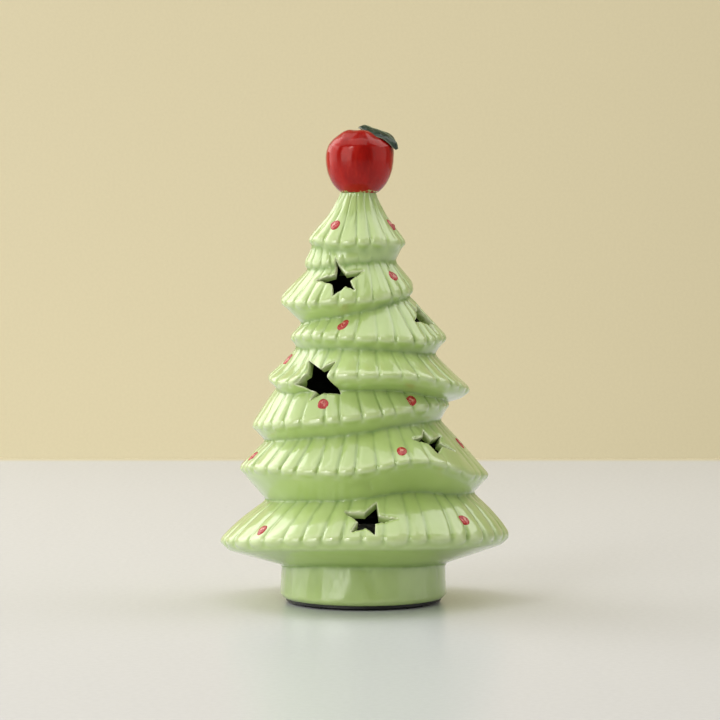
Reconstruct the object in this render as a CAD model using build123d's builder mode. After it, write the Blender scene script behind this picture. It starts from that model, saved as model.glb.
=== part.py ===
# Ceramic Christmas tree: a slip-cast shell of tilted, fluted tiers with star cut-outs,
# an apple on top, and a battery light unit that plugs into the trunk from below.
# Millimetres. The origin is on the table under the trunk, +Z is up and the front faces -Y.
import os
from math import cos, pi, radians, sin, tan

from build123d import *

os.makedirs("parts", exist_ok=True)

# Driving sizes of the ceramic shell
shell_height = 168.8
skirt_radius = 60.6
skirt_bulge = 3.0
wall = 3.5
trunk_radius = 34.0
trunk_flare = 0.9
trunk_edge = 1.4
trunk_waist_share = 0.45
neck_radius = 7.3
flute_rise = 1.2
lip_drop = 3.4
lip_inset = 1.4
star_radius = 10.0

# Tiers from the crown down to the skirt, one column each.
# Heights are shares of the shell's height, radii and sideways shifts of the skirt radius,
# and the ends of a tier's slope and underside of its own rim radius. A slope's top leans past its rim.
rim_height_shares = (0.884, 0.840, 0.754, 0.646, 0.534, 0.453, 0.313, 0.150)
rim_radius_shares = (0.338, 0.303, 0.463, 0.542, 0.699, 0.687, 0.860, 1.000)
rim_shift_shares = (-0.044, -0.103, -0.113, 0.033, 0.038, -0.089, 0.006, 0.008)
slope_top_shares = (0.37, 0.62, 0.52, 0.54, 0.54, 0.62, 0.53, 0.58)
slope_lean_shares = (0.000, 0.000, 0.058, 0.000, -0.046, 0.000, 0.000, 0.066)
under_end_shares = (0.62, 0.62, 0.60, 0.62, 0.62, 0.66, 0.66, 0.56)
right_up_degrees = (-1.6, 8.0, 5.4, -1.4, -4.5, 6.7, -1.6, 1.6)
front_up_degrees = (0.0, 0.0, -5.0, 1.5, 6.0, 2.5, 4.5, 4.5)
slope_degrees = (52, 55, 48, 48, 45, 50, 46, 41)
under_degrees = (64, 60, 48, 52, 45, 48, 47, 12)
flute_counts = (16, 19, 22, 26, 30, 30, 38, 40)
tiers = range(len(flute_counts))
crown, skirt = tiers[0], tiers[-1]

# The crown flares from the neck: its waist as shares of its rim radius and of its height
crown_waist_radius_share = 0.57
crown_waist_height_share = 0.56

# One flute across its pitch: place as a share of the pitch, depth as a share of the rise
flute_shares = ((0, 1), (0.2, 0.1), (0.5, 0), (0.8, 0.1))
round_shares = ((0, 0),)
hollow_sides = 24

# Stars of the front half: tier, degrees right of the front, place up the slope as a share of it,
# facing in degrees above level, depth in walls. The back repeats them, turned round.
star_places_shares = (
    (2, -8.0, 0.57, 42, 2.2),
    (3, 70.0, 0.50, 42, 2.2),
    (4, -32.0, -0.02, 18, 4.0),
    (6, 44.0, 0.48, 44, 2.2),
    (7, 2.0, 0.31, 49, 2.2),
)

# Corners of these stars, which are cut by hand and uneven, as shares of the star radius
star_shares = (
    ((-0.15, 0.20), (-1.00, 0.15), (-0.25, -0.30), (-0.20, -0.90), (0.30, -0.45),
     (0.70, -0.65), (0.50, -0.20), (1.05, 0.35), (0.30, 0.20), (-0.10, 0.80)),
    ((-0.45, 0.20), (-1.00, -0.10), (-0.30, -0.30), (-0.15, -0.90), (0.15, -0.35),
     (0.65, -0.35), (0.35, 0.05), (0.40, 0.70), (-0.20, 0.35), (-0.50, 0.85)),
    ((-0.55, 0.10), (-1.05, -0.35), (-0.30, -0.45), (-0.40, -0.85), (0.05, -0.45),
     (0.75, -0.40), (0.55, -0.10), (0.55, 0.75), (0.00, 0.35), (-0.95, 0.85)),
    ((-0.55, -0.25), (-0.40, -0.85), (0.25, -0.35), (1.05, -0.45), (0.25, -0.15),
     (0.70, 0.35), (-0.05, 0.05), (-0.20, 0.55), (-0.55, 0.15), (-1.20, 0.05)),
    ((-0.45, -0.15), (-0.75, -0.70), (-0.15, -0.50), (0.20, -0.90), (0.25, -0.30),
     (1.15, 0.00), (0.40, 0.15), (0.35, 0.95), (-0.15, 0.35), (-0.95, 0.50)),
)
back_turn = 155
half_turn = 180

# Apple, as radius and height shares from its seat over the shoulder into the dimple, and leaf
apple_radius = 14.3
apple_height = 27.4
apple_shares = (
    (0.49, 0.00),
    (0.62, 0.10),
    (0.82, 0.23),
    (0.92, 0.36),
    (0.975, 0.48),
    (1.00, 0.60),
    (0.96, 0.72),
    (0.86, 0.84),
    (0.74, 0.92),
    (0.52, 0.98),
    (0.28, 1.00),
    (0.06, 0.92),
)
apple_sides = 36
apple_core_shares = ((0.64, 0.34), (0.72, 0.60), (0.44, 0.80))
core_sides = 16
leaf_reach = 16.6
leaf_half_width = 5.2
leaf_thickness = 1.8
leaf_turn = -15
leaf_base_shares = (-0.04, 1.01)
leaf_bend_shares = (0.58, 0.945)
leaf_tip_share = 0.69

# Light unit: the plug that fits the trunk's bore
foot_thickness = 1.0
pad_length = 9.0
pad_width = 5.0
pad_circle = 27.5
floor_thickness = 1.2
flange_width = 2.0
bore_clearance = 0.2
fin_thickness = 1.6
fin_spread = 12.0
fin_height = 12.0
grip_thickness = 0.8

# Light unit: batteries, contacts and door
cell_radius = 5.25
cell_length = 43.5
nub_radius = 1.9
nub_length = 1.0
cell_gap = 0.4
bay_clearance = 0.4
bay_wall = 1.6
contact_thickness = 0.4
contact_width = 7.0
contact_height = 9.0
spring_bow = 2.0
tail_width = 2.0
tail_clearance = 0.2
door_lap = 0.7
door_clearance = 0.25
door_tab_length = 8.0
door_tab_width = 8.0
screw_radius = 1.0
screw_head_radius = 2.0
screw_head_height = 0.7
screw_length = 6.0
screw_clearance = 0.15
boss_height = 7.0

# Light unit: switch, board, lamps, lid and diffuser
switch_length = 8.5
switch_width = 3.6
switch_height = 3.6
switch_reach = 18.0
switch_pocket_depth = 1.2
knob_length = 3.0
knob_width = 1.6
knob_travel = 2.0
knob_proud = 0.5
knob_clearance = 0.3
lead_width = 0.8
lead_spread = 2.5
lead_lap = 2.0
board_width = 18.0
board_thickness = 1.6
board_gap = 1.4
post_width = 3.0
post_spread_share = 0.7
chamber_height = 6.0
lamp_length = 3.5
lamp_width = 2.8
lamp_height = 1.9
lamp_pitch = 6.0
lamp_count = 3
resistor_length = 3.2
resistor_width = 1.6
resistor_height = 0.6
resistor_reach = 15.0
lid_thickness = 1.2
cap_length = 26.0
cap_width = 16.0
cap_height = 10.0
cap_wall = 1.2
cap_chamfer = 1.2

# Places worked out from the sizes above
lift = foot_thickness + floor_thickness
bore_radius = trunk_radius - wall
upright = (Align.CENTER, Align.CENTER, Align.MIN)
hanging = (Align.CENTER, Align.CENTER, Align.MAX)


def ring(plane, crest_radius, rise, count, shares):
    """Corners of a closed outline on a plane: a pattern of count flutes, each with these shares."""
    corners = []
    for flute in range(count):
        for place, depth in shares:
            radius = crest_radius - rise * depth
            angle = 2 * pi * (flute + place) / count
            corners.append(plane.from_local_coords((radius * cos(angle), radius * sin(angle), 0)))
    return corners


def skin(rings):
    """A solid with flat facets between similar rings of corners, closed at both ends."""
    faces = [Face(Wire.make_polygon(rings[0])), Face(Wire.make_polygon(rings[-1]))]
    for upper, lower in zip(rings, rings[1:]):
        for corner in range(len(upper)):
            facet = (upper[corner - 1], upper[corner], lower[corner], lower[corner - 1])
            faces.append(Face(Wire.make_polygon(facet)))
    return Solid(Shell(faces))


def side_of(plane):
    """The upright plane through a tilted plane's own axis."""
    return Plane(origin=plane.origin, x_dir=plane.x_dir, z_dir=-plane.y_dir)


def tier_radius(tier):
    return rim_radius_shares[tier] * skirt_radius


def tier_plane(tier):
    """The tilted plane of a tier's rim."""
    origin = (rim_shift_shares[tier] * skirt_radius, 0, lift + rim_height_shares[tier] * shell_height)
    return Plane(origin=origin).rotated((-front_up_degrees[tier], -right_up_degrees[tier], 0))


def slope_rise(tier):
    """How far a tier's fluted slope climbs above its rim."""
    if tier == crown:
        return (1 - rim_height_shares[crown]) * shell_height
    return tier_radius(tier) * (1 - slope_top_shares[tier]) * tan(radians(slope_degrees[tier]))


def tier_level(tier, height):
    """A tier's rim plane at a height along its axis, moved sideways as the slope leans."""
    plane = tier_plane(tier)
    lean = slope_lean_shares[tier] * skirt_radius * max(height, 0) / slope_rise(tier)
    return Plane(origin=plane.from_local_coords((lean, 0, height)), x_dir=plane.x_dir, z_dir=plane.z_dir)


def fluted_tier(tier):
    """A tier's fluted slope and the lip that its flutes turn down over."""
    rise, radius = slope_rise(tier), tier_radius(tier)
    stations = [(rise, slope_top_shares[tier]), (0, 1), (-lip_drop, 1 - lip_inset / radius)]
    if tier == crown:
        waist = (crown_waist_height_share * rise, crown_waist_radius_share)
        stations = [(rise, neck_radius / radius), waist, *stations[1:]]
    if tier == skirt:
        stations.insert(1, (rise / 2, (1 + slope_top_shares[skirt]) / 2 + skirt_bulge / radius))
    return skin([
        ring(tier_level(tier, height), share * radius, share * flute_rise, flute_counts[tier], flute_shares)
        for height, share in stations
    ])


def under_cone(tier):
    """Radius at the lip, radius at the inner end and depth of a tier's smooth underside."""
    lip_radius = tier_radius(tier) - lip_inset - flute_rise
    end_radius = under_end_shares[tier] * tier_radius(tier)
    return lip_radius, end_radius, (lip_radius - end_radius) * tan(radians(under_degrees[tier]))


def smooth_underside(tier):
    lip_radius, end_radius, drop = under_cone(tier)
    lip = tier_plane(tier).offset(-lip_drop)
    count = flute_counts[tier]
    return skin([
        ring(lip, lip_radius, 0, count, round_shares),
        ring(lip.offset(-drop), end_radius, 0, count, round_shares),
    ])


def tier_hollow(tier):
    """A tier's hollow: its slope and underside moved inwards by the wall."""
    slope, under = radians(slope_degrees[tier]), radians(under_degrees[tier])
    lip_radius, end_radius, drop = under_cone(tier)
    rise = slope_rise(tier)
    groove_radius = tier_radius(tier) - flute_rise
    slope_start = groove_radius - wall / sin(slope)
    under_start = lip_radius - wall / sin(under) + lip_drop / tan(under)
    rim_height = (slope_start - under_start) / (1 / tan(slope) + 1 / tan(under))
    stations = [
        (slope_start - rise / tan(slope), rise),
        (slope_start - rim_height / tan(slope), rim_height),
        (end_radius - wall / sin(under), -lip_drop - drop),
    ]
    if tier == crown:
        waist_radius = crown_waist_radius_share * groove_radius - wall / sin(slope)
        waist = (waist_radius, crown_waist_height_share * rise)
        stations = [(neck_radius - wall, rise), waist, *stations[1:]]
    if tier == skirt:
        stations.insert(1, (slope_start - rise / 2 / tan(slope) + skirt_bulge, rise / 2))
    return skin([
        ring(tier_level(tier, height), radius, 0, hollow_sides, round_shares) for radius, height in stations
    ])


def star_plane(tier, azimuth, up_share, facing):
    """The plane on a tier's slope that a star is cut through."""
    height = up_share * slope_rise(tier)
    reach = tier_radius(tier) - flute_rise - height / tan(radians(slope_degrees[tier]))
    right, front = sin(radians(azimuth)), cos(radians(azimuth))
    level, up = cos(radians(facing)), sin(radians(facing))
    rim = tier_plane(tier)
    origin = rim.from_local_coords((reach * right, -reach * front, height))
    outward = rim.x_dir * (right * level) - rim.y_dir * (front * level) + rim.z_dir * up
    sideways = rim.x_dir * front + rim.y_dir * right
    return Plane(origin=origin, x_dir=sideways, z_dir=outward)


# Tree shell
skirt_height = lift + rim_height_shares[skirt] * shell_height
foot_radius = trunk_radius + trunk_flare
star_proud = 2 * flute_rise + skirt_bulge
with BuildPart() as tree_shell:
    with BuildSketch(Plane.XZ):
        with BuildLine():
            Polyline(
                (0, lift),
                (foot_radius - trunk_edge, lift),
                (foot_radius, lift + trunk_edge),
                (trunk_radius, lift + trunk_waist_share * (skirt_height - lift)),
                (trunk_radius, skirt_height),
                (0, skirt_height),
                close=True,
            )
        make_face()
    revolve(axis=Axis.Z)
    add([fluted_tier(tier) for tier in tiers] + [smooth_underside(tier) for tier in tiers])
    add([tier_hollow(tier) for tier in tiers], mode=Mode.SUBTRACT)
    with Locations((0, 0, lift)):
        Cylinder(bore_radius, skirt_height - lift, align=upright, mode=Mode.SUBTRACT)
    for (tier, azimuth, up_share, facing, walls), corners in zip(star_places_shares, star_shares):
        for turn in (0, back_turn):
            with BuildSketch(star_plane(tier, azimuth + turn, up_share, facing).offset(star_proud)):
                with BuildLine():
                    Polyline(*[(star_radius * right, star_radius * up) for right, up in corners], close=True)
                make_face()
            extrude(amount=-star_proud - walls * wall, mode=Mode.SUBTRACT)
tree_shell.part.label = "tree_shell"
export_step(tree_shell.part, "parts/tree_shell.step")

# Apple, hollow and open to the neck
seat = tier_plane(crown).offset(slope_rise(crown))
with BuildPart() as apple:
    add(skin([
        ring(seat.offset(up * apple_height), out * apple_radius, 0, apple_sides, round_shares)
        for out, up in apple_shares
    ]))
    core = [(neck_radius - wall, 0)]
    core += [(out * apple_radius, up * apple_height) for out, up in apple_core_shares]
    add(
        skin([ring(seat.offset(height), radius, 0, core_sides, round_shares) for radius, height in core]),
        mode=Mode.SUBTRACT,
    )
apple.part.label = "apple"
export_step(apple.part, "parts/apple.step")

# Leaf, bent over the apple's shoulder and lying on it
leaf_plane = seat.rotated((0, 0, leaf_turn))
leaf_base = (leaf_base_shares[0] * apple_radius, leaf_base_shares[1] * apple_height)
leaf_bend = (leaf_bend_shares[0] * apple_radius, leaf_bend_shares[1] * apple_height)
leaf_tip = (leaf_reach, leaf_tip_share * apple_height)
leaf_middle = (leaf_base[0] + leaf_reach) / 2
with BuildPart() as apple_leaf:
    with BuildSketch(side_of(leaf_plane)):
        with BuildLine():
            ThreePointArc(leaf_base, leaf_bend, leaf_tip)
        trace(line_width=leaf_thickness)
    extrude(amount=leaf_half_width, both=True)
    with BuildSketch(leaf_plane):
        with BuildLine():
            ThreePointArc((leaf_base[0], 0), (leaf_middle, leaf_half_width), (leaf_reach, 0))
            ThreePointArc((leaf_reach, 0), (leaf_middle, -leaf_half_width), (leaf_base[0], 0))
        make_face()
    extrude(amount=2 * apple_height, mode=Mode.INTERSECT)
    add(apple.part, mode=Mode.SUBTRACT)
apple_leaf.part.label = "apple_leaf"
export_step(apple_leaf.part, "parts/apple_leaf.step")

# Places inside the light unit
plug_radius = bore_radius - bore_clearance
bay_half_length = (cell_length + nub_length + spring_bow) / 2 + contact_thickness
bay_half_width = 2 * cell_radius + cell_gap / 2 + bay_clearance
bay_height = 2 * cell_radius + bay_clearance
cell_axis_height = lift + bay_height - cell_radius
cell_side = cell_radius + cell_gap / 2
partition_top = lift + bay_height + bay_wall
chamber_top = partition_top + chamber_height
board_bottom = partition_top + board_gap
board_top = board_bottom + board_thickness
board_half_length = bay_half_length - contact_thickness
tub_length = 2 * (bay_half_length + bay_wall)
tub_width = 2 * (bay_half_width + bay_wall)
door_length = 2 * (bay_half_length + door_lap)
door_width = 2 * (bay_half_width + door_lap)
tab_end = -door_width / 2 - door_tab_length
screw_place = -tub_width / 2 - door_tab_length / 2
fin_end = (plug_radius**2 - (fin_spread + fin_thickness / 2) ** 2) ** 0.5
lead_places = (-lead_spread, lead_spread)

# Housing: flange, battery tub, chamber for the board, centring fins and screw boss
with BuildPart() as unit_housing:
    with Locations((0, 0, foot_thickness)):
        Cylinder(bore_radius + flange_width, floor_thickness, align=upright)
    with Locations((0, 0, lift)):
        Box(tub_length, tub_width, chamber_top - lift, align=upright)
        Box(2 * (plug_radius - grip_thickness), fin_thickness, fin_height, align=upright)
    with Locations((-fin_spread, 0, lift), (fin_spread, 0, lift)):
        Box(fin_thickness, 2 * (fin_end - grip_thickness), fin_height, align=upright)
    with Locations((0, screw_place, lift)):
        Box(door_tab_width, door_tab_length, boss_height, align=upright)
    with Locations((0, 0, lift)):
        Box(2 * bay_half_length, 2 * bay_half_width, bay_height, align=upright, mode=Mode.SUBTRACT)
    with Locations((0, 0, partition_top)):
        Box(2 * bay_half_length, 2 * bay_half_width, chamber_height, align=upright, mode=Mode.SUBTRACT)
    with BuildSketch(Plane.XY.offset(foot_thickness)):
        Rectangle(door_length + 2 * door_clearance, door_width + 2 * door_clearance)
        with Locations((0, tab_end - door_clearance)):
            tab_cut = (Align.CENTER, Align.MIN)
            Rectangle(door_tab_width + 2 * door_clearance, 2 * door_tab_length, align=tab_cut)
        with Locations((0, switch_reach)):
            slot_length = knob_length + knob_travel + 2 * knob_clearance
            Rectangle(slot_length, knob_width + 2 * knob_clearance)
    extrude(amount=floor_thickness, mode=Mode.SUBTRACT)
    with Locations((0, screw_place, lift)):
        Cylinder(screw_radius + screw_clearance, boss_height, align=upright, mode=Mode.SUBTRACT)
    with Locations(*[(-bay_half_length, side * cell_side, lift + bay_height) for side in (-1, 1)]):
        tail_slot = (contact_thickness + tail_clearance, tail_width + 2 * tail_clearance, bay_wall)
        Box(*tail_slot, align=(Align.MIN, Align.CENTER, Align.MIN), mode=Mode.SUBTRACT)
    with Locations(*[(x, tub_width / 2, board_top) for x in lead_places]):
        notch = (Align.CENTER, Align.MAX, Align.MIN)
        Box(lead_width + 2 * tail_clearance, 2 * bay_wall, chamber_height, align=notch, mode=Mode.SUBTRACT)
    post_x = post_spread_share * board_half_length
    post_y = post_spread_share * board_width / 2
    with Locations(*[(x, y, partition_top) for x in (-post_x, post_x) for y in (-post_y, post_y)]):
        Box(post_width, post_width, board_gap, align=upright)
unit_housing.part.label = "unit_housing"
export_step(unit_housing.part, "parts/unit_housing.step")

# Grip pads on the ends of the fins
with BuildPart() as grip_pads:
    for side in (-1, 1):
        with Locations((side * (plug_radius - grip_thickness / 2), 0, lift)):
            Box(grip_thickness, fin_thickness, fin_height, align=upright)
        with Locations(*[(x, side * (fin_end - grip_thickness / 2), lift) for x in (-fin_spread, fin_spread)]):
            Box(fin_thickness, grip_thickness, fin_height, align=upright)
grip_pads.part.label = "grip_pads"
export_step(grip_pads.part, "parts/grip_pads.step")

# Foot pads under the flange
with BuildPart() as foot_pads:
    with PolarLocations(pad_circle, 4, start_angle=45):
        Box(pad_width, pad_length, foot_thickness, align=upright)
foot_pads.part.label = "foot_pads"
export_step(foot_pads.part, "parts/foot_pads.step")

# Battery door, closing the bay flush with the flange
with BuildPart() as battery_door:
    with BuildSketch(Plane.XY.offset(foot_thickness)):
        Rectangle(door_length, door_width)
        with Locations((0, tab_end)):
            Rectangle(door_tab_width, 2 * door_tab_length, align=(Align.CENTER, Align.MIN))
    extrude(amount=floor_thickness)
    with Locations((0, screw_place, foot_thickness)):
        Cylinder(screw_radius + screw_clearance, floor_thickness, align=upright, mode=Mode.SUBTRACT)
        head_hole = screw_head_radius + screw_clearance
        Cylinder(head_hole, screw_head_height, align=upright, mode=Mode.SUBTRACT)
battery_door.part.label = "battery_door"
export_step(battery_door.part, "parts/battery_door.step")

# Door screw
with BuildPart() as door_screw:
    with Locations((0, screw_place, foot_thickness)):
        Cylinder(screw_head_radius, screw_head_height, align=upright)
        Cylinder(screw_radius, screw_length, align=upright)
door_screw.part.label = "door_screw"
export_step(door_screw.part, "parts/door_screw.step")

# Two cells side by side, one turned end for end
cell_start = -bay_half_length + contact_thickness + spring_bow
with BuildPart() as battery_cells:
    for side in (-1, 1):
        with BuildSketch(Plane.YZ.offset(side * cell_start)):
            with Locations((side * cell_side, cell_axis_height)):
                Circle(cell_radius)
        extrude(amount=side * cell_length)
        with BuildSketch(Plane.YZ.offset(side * (cell_start + cell_length))):
            with Locations((side * cell_side, cell_axis_height)):
                Circle(nub_radius)
        extrude(amount=side * nub_length)
battery_cells.part.label = "battery_cells"
export_step(battery_cells.part, "parts/battery_cells.step")


# Contacts: each is a strip on an end wall of the bay, drawn in plan on the lower edge of the strip
strip_bottom = Plane.XY.offset(cell_axis_height - contact_height / 2)
bow_half_width = contact_width / 2
bow_inset = 2 * contact_thickness
bow_outline = (
    (contact_thickness, -bow_half_width),
    (contact_thickness + spring_bow, 0),
    (contact_thickness, bow_half_width),
    (contact_thickness, bow_half_width - bow_inset),
    (contact_thickness + spring_bow - bow_inset, 0),
    (contact_thickness, -bow_half_width + bow_inset),
)
tail_box = (contact_thickness, tail_width, board_top - cell_axis_height)
tail_align = (Align.MIN, Align.CENTER, Align.MIN)
plate_align = (Align.MIN, Align.CENTER)

with BuildPart() as spring_contact:
    with BuildSketch(strip_bottom):
        with Locations((-bay_half_length, cell_side)):
            Rectangle(contact_thickness, contact_width, align=plate_align)
            Polygon(*bow_outline, align=None)
    extrude(amount=contact_height)
    with Locations((-bay_half_length, cell_side, cell_axis_height)):
        Box(*tail_box, align=tail_align)
spring_contact.part.label = "spring_contact"
export_step(spring_contact.part, "parts/spring_contact.step")

with BuildPart() as plate_contact:
    with BuildSketch(strip_bottom):
        with Locations((-bay_half_length, -cell_side)):
            Rectangle(contact_thickness, contact_width, align=plate_align)
    extrude(amount=contact_height)
    with Locations((-bay_half_length, -cell_side, cell_axis_height)):
        Box(*tail_box, align=tail_align)
plate_contact.part.label = "plate_contact"
export_step(plate_contact.part, "parts/plate_contact.step")

with BuildPart() as bridge_contact:
    with BuildSketch(strip_bottom):
        with Locations(Location((bay_half_length, 0), half_turn)):
            Rectangle(contact_thickness, 2 * cell_side + contact_width, align=plate_align)
        with Locations(Location((bay_half_length, -cell_side), half_turn)):
            Polygon(*bow_outline, align=None)
    extrude(amount=contact_height)
bridge_contact.part.label = "bridge_contact"
export_step(bridge_contact.part, "parts/bridge_contact.step")

# Circuit board with its lamps and resistor
with BuildPart() as circuit_board:
    with Locations((0, 0, board_bottom)):
        Box(2 * board_half_length, board_width, board_thickness, align=upright)
circuit_board.part.label = "circuit_board"
export_step(circuit_board.part, "parts/circuit_board.step")

with BuildPart() as led_chips:
    with Locations((0, 0, board_top)):
        with GridLocations(lamp_pitch, lamp_pitch, lamp_count, 1):
            Box(lamp_length, lamp_width, lamp_height, align=upright)
led_chips.part.label = "led_chips"
export_step(led_chips.part, "parts/led_chips.step")

with BuildPart() as board_resistor:
    with Locations((resistor_reach, 0, board_top)):
        Box(resistor_length, resistor_width, resistor_height, align=upright)
board_resistor.part.label = "board_resistor"
export_step(board_resistor.part, "parts/board_resistor.step")

# Slide switch on the flange, its slider through the slot, and two leads over to the board
with BuildPart() as switch_body:
    with Locations((0, switch_reach, lift)):
        Box(switch_length, switch_width, switch_height, align=upright)
        pocket = (slot_length, knob_width + 2 * knob_clearance, switch_pocket_depth)
        Box(*pocket, align=upright, mode=Mode.SUBTRACT)
switch_body.part.label = "switch_body"
export_step(switch_body.part, "parts/switch_body.step")

with BuildPart() as switch_slider:
    with Locations((-knob_travel / 2, switch_reach, foot_thickness - knob_proud)):
        slider_height = knob_proud + floor_thickness + switch_pocket_depth
        Box(knob_length, knob_width, slider_height, align=upright)
switch_slider.part.label = "switch_slider"
export_step(switch_slider.part, "parts/switch_slider.step")

lead_foot = lift + switch_height
lead_outer = switch_reach + lead_width / 2
lead_inner = switch_reach - lead_width / 2
lead_end = board_width / 2 - lead_lap
with BuildPart() as switch_leads:
    for place in lead_places:
        with BuildSketch(Plane.YZ.offset(place)):
            with BuildLine():
                Polyline(
                    (lead_inner, lead_foot),
                    (lead_outer, lead_foot),
                    (lead_outer, board_top + lead_width),
                    (lead_end, board_top + lead_width),
                    (lead_end, board_top),
                    (lead_inner, board_top),
                    close=True,
                )
            make_face()
        extrude(amount=lead_width / 2, both=True)
switch_leads.part.label = "switch_leads"
export_step(switch_leads.part, "parts/switch_leads.step")

# Lid on the tub, with a window for the lamps
window_length = cap_length - 4 * cap_wall
window_width = cap_width - 4 * cap_wall
with BuildPart() as unit_lid:
    with BuildSketch(Plane.XY.offset(chamber_top)):
        Rectangle(tub_length, tub_width)
        Rectangle(window_length, window_width, mode=Mode.SUBTRACT)
    extrude(amount=lid_thickness)
unit_lid.part.label = "unit_lid"
export_step(unit_lid.part, "parts/unit_lid.step")

# Frosted diffuser cap over the window
cap_bottom = chamber_top + lid_thickness
with BuildPart() as diffuser_cap:
    with Locations((0, 0, cap_bottom)):
        Box(cap_length, cap_width, cap_height, align=upright)
    chamfer(diffuser_cap.faces().sort_by(Axis.Z)[-1].edges(), cap_chamfer)
    with Locations((0, 0, cap_bottom)):
        cap_room = (cap_length - 2 * cap_wall, cap_width - 2 * cap_wall, cap_height - cap_wall)
        Box(*cap_room, align=upright, mode=Mode.SUBTRACT)
diffuser_cap.part.label = "diffuser_cap"
export_step(diffuser_cap.part, "parts/diffuser_cap.step")
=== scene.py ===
from math import cos, pi, radians, sin, tan

import bpy
import numpy as np
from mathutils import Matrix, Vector
from mathutils.bvhtree import BVHTree


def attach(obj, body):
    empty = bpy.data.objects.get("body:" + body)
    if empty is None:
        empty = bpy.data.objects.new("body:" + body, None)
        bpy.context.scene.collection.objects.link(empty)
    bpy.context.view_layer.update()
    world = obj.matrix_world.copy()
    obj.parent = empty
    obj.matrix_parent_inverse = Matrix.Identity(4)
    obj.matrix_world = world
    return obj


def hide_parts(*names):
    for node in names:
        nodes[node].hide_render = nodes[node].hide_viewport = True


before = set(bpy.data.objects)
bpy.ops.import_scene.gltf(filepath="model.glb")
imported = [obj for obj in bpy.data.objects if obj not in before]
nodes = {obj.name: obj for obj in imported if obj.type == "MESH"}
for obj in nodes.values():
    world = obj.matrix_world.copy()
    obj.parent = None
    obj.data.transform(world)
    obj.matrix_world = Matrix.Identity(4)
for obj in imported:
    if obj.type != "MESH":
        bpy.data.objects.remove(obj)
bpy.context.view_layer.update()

MM = 0.001

# Sizes of the ceramic shell in millimetres, as in the CAD source
LIFT = 2.2
SHELL_HEIGHT = 168.8
SKIRT_RADIUS = 60.6
WALL = 3.5
TRUNK_RADIUS = 34.0
TRUNK_FLARE = 0.9
TRUNK_EDGE = 1.4
TRUNK_WAIST = 0.80
BORE_RADIUS = TRUNK_RADIUS - WALL
NECK_RADIUS = 7.3
FLUTE_RISE = 1.2
LIP_INSET = 1.4
STAR_RADIUS = 10.0
CROWN_WAIST = (0.57, 0.56)
# Up to this height the hollow is the plain bore of the trunk, and the neck runs a little into the apple
BORE_TOP = 17
NECK_TOP = LIFT + SHELL_HEIGHT + 0.3

# Tiers from the crown down to the skirt, one column each
RIM_HEIGHT = (0.884, 0.840, 0.754, 0.646, 0.534, 0.453, 0.313, 0.150)
RIM_RADIUS = (0.338, 0.303, 0.463, 0.542, 0.699, 0.687, 0.860, 1.000)
RIM_SHIFT = (-0.044, -0.103, -0.113, 0.033, 0.038, -0.089, 0.006, 0.008)
SLOPE_TOP = (0.37, 0.62, 0.52, 0.54, 0.54, 0.62, 0.53, 0.58)
UNDER_END = (0.62, 0.62, 0.60, 0.62, 0.62, 0.66, 0.66, 0.56)
RIGHT_UP = (-1.6, 8.0, 5.4, -1.4, -4.5, 6.7, -1.6, 1.6)
FRONT_UP = (0.0, 0.0, -5.0, 1.5, 6.0, 2.5, 4.5, 4.5)
SLOPE = (52, 55, 48, 48, 45, 50, 46, 41)
UNDER = (64, 60, 48, 52, 18, 48, 47, 17)
FLUTES = (16, 19, 22, 26, 30, 30, 38, 40)
# How far a slope's top stands right of its rim, how far the slope bulges and how deep the lip is
LEAN = (0.0, 0.0, 3.5, 0.0, -2.8, 0.0, 0.0, 4.0)
BULGE = (0.0, 0.6, 0.8, 0.4, -0.2, 0.9, 1.0, 3.0)
LIP = (3.4, 3.2, 3.4, 3.4, 3.4, 3.4, 3.4, 4.4)
# How deep the grooves still are at the top of a slope, as a share of their depth at the rim
GROOVE_TOP = (0.3, 0.3, 0.3, 0.3, 0.3, 0.3, 0.3, 0.8)
CROWN, SKIRT = 0, 7
# Where a rim strays from its plane: tier, degrees right of the front, spread and rise
RIM_BUMPS = ((4, 24, 26, 3.0), (4, -60, 24, -4.2), (6, 27, 22, 5.2), (7, -38, 24, 1.5))
# Where the ribs run out before the rim: tier, degrees right of the front, spread and how fully
RIB_FADES = ((6, 55, 24, 0.85), (1, 20, 50, 0.8))

# How unequal the ribs are: place, height, length, and depth of the groove beside each
RIB_PLACE = (-0.15, 0.15)
RIB_GAIN = (0.80, 1.03)
RIB_TAIL = (-0.5, 0.5)
GROOVE_CUT = (0.55, 1.1)
# How the ribs sway: size, turns round the tier, lean with height and phase from tier to tier
RIB_SWAYS = ((0.10, 4, 0.04, 1), (0.035, 13, 0.16, 2))
# How each rim waves: size, turns round the tier and phase from tier to tier
RIM_WAVES = ((0.35, 3, 1.0), (0.25, 5, 2.1))
# Shares of a rib that its grooves take, how far its flanks fall away and how softly it ends
GROOVE_DEPTH, GROOVE_WIDTH = 0.60, 0.15
FLANK_FALL = 0.62
RIB_END = 1.3
# How far the undersides bulge
UNDER_BULGE = 0.5
# Beyond its ends a profile runs this far up or down and inward, out of sight in its neighbours
RUN_UP, RUN_IN = 12, 36

# Mesh density of the shell, and the steps that settle a tilted tier's surface
COLUMNS = 640
OUTER_ROWS = 340
INNER_ROWS = 56
Z_STEP = 0.15
BEND_WEIGHT = 2.0
SETTLE_STEPS, SETTLE_SHARE = 14, 0.9
# More than any distance on the tree, in millimetres
LARGEST_RADIUS = 70
FAR = 99.0
# How softly the tiers meet, how round the corners are, and the glaze's lumps with their blurs
BLEND = 0.9
ROUNDING = 1.5
TRUNK_ROUNDING = 0.7
LUMP_BROAD, BROAD_BLUR = 0.10, 60
LUMP_FINE, FINE_BLUR = 0.035, 9
LUMP_SINK, LUMP_RISE = -0.3, 0.05

rng = np.random.default_rng(20)


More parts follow.
